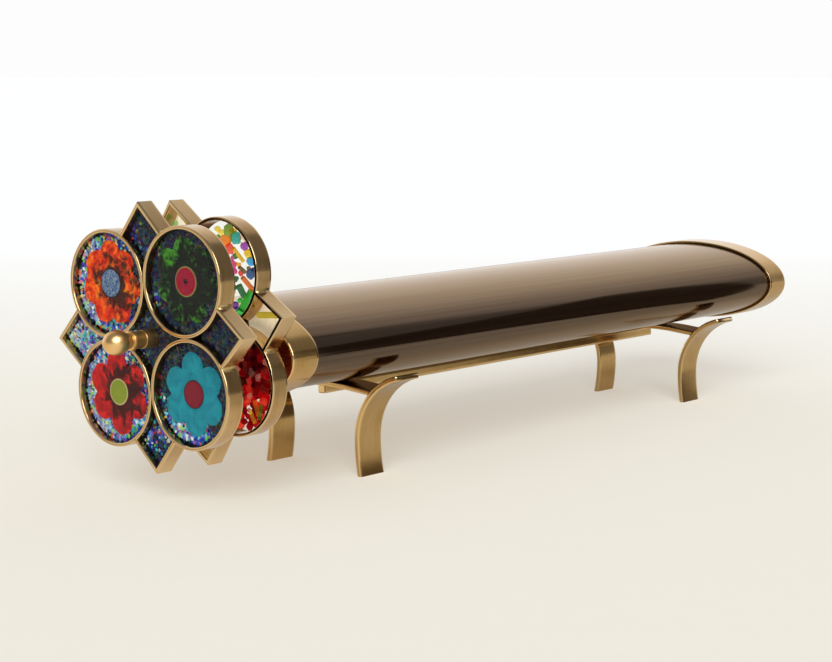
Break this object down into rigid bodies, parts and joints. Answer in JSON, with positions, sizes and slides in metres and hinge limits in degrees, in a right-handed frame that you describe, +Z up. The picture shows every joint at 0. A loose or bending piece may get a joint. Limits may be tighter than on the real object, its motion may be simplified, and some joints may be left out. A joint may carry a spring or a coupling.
{
  "type": "kaleidoscope",
  "caption": "Kaleidoscope with a flattened oval tube, glass object wheels that turn on an axle at the front, and a brass strip stand it lifts off.",
  "frame": {"origin": "on the floor, below the middle of the whole length", "axes": "+X from the wheels to the eyepiece, +Z up, -Y the left of a person at the eyepiece"},
  "size_m": [0.2664, 0.0662, 0.0742],
  "materials": {
    "brass": "satin, brushed",
    "dark_lacquer": "gloss",
    "clear_glass": "clear",
    "mirror": "polished",
    "black_card": "matt",
    "foam": "matt",
    "frit_glass": "glossy, flecked",
    "glass_orange": "glossy",
    "glass_green": "glossy",
    "glass_turquoise": "glossy",
    "glass_red": "glossy",
    "glass_eye_orange": "glossy",
    "glass_eye_green": "glossy",
    "glass_eye_turquoise": "glossy",
    "glass_eye_red": "glossy"
  },
  "bodies": {
    "stand": {"leg_front_left": "brass", "leg_front_right": "brass", "leg_rear_left": "brass", "leg_rear_right": "brass", "saddle_front": "brass", "saddle_rear": "brass", "stretcher_bar": "brass"},
    "scope": {"body_tube": "dark_lacquer", "front_band": "brass", "rear_band": "brass", "front_plate": "brass", "object_window": "clear_glass", "mirror_upper": "mirror", "mirror_lower": "mirror", "mirror_side_strip": "black_card", "mirror_packing_front": "foam", "mirror_packing_rear": "foam", "rear_plate": "brass", "eye_lens": "clear_glass", "eyepiece_ring": "brass", "axle": "brass", "axle_nut": "brass", "rear_spacer": "brass", "middle_spacer": "brass", "knob_ring": "brass", "finial_knob": "brass"},
    "front_wheel": {"front_ring_orange": "brass", "front_cell_orange": "frit_glass", "flower_orange": "glass_orange", "flower_eye_orange": "glass_eye_orange", "front_ring_green": "brass", "front_cell_green": "frit_glass", "flower_green": "glass_green", "flower_eye_green": "glass_eye_green", "front_ring_turquoise": "brass", "front_cell_turquoise": "frit_glass", "flower_turquoise": "glass_turquoise", "flower_eye_turquoise": "glass_eye_turquoise", "front_ring_red": "brass", "front_cell_red": "frit_glass", "flower_red": "glass_red", "flower_eye_red": "glass_eye_red", "front_points": "brass", "front_point_glass": "frit_glass", "front_centre_glass": "frit_glass", "front_hub": "brass"},
    "rear_wheel": {"rear_ring_upper_right": "brass", "rear_cell_upper_right": "clear_glass", "rear_ring_lower_right": "brass", "rear_cell_lower_right": "clear_glass", "rear_ring_lower_left": "brass", "rear_cell_lower_left": "clear_glass", "rear_ring_upper_left": "brass", "rear_cell_upper_left": "clear_glass", "rear_points": "brass", "rear_point_glass": "clear_glass", "rear_centre_glass": "frit_glass", "rear_hub": "brass"}
  },
  "joints": [
    {"name": "scope_lift", "type": "slide", "parent": "stand", "child": "scope", "axis": [0, 0, 1], "range_m": [0, 0.06]},
    {"name": "front_wheel_spin", "type": "hinge", "parent": "scope", "child": "front_wheel", "pos_m": [-0.1175, 0, 0.0411], "axis": [1, 0, 0], "continuous": true},
    {"name": "rear_wheel_spin", "type": "hinge", "parent": "scope", "child": "rear_wheel", "pos_m": [-0.1038, 0, 0.0411], "axis": [1, 0, 0], "continuous": true}
  ]
}
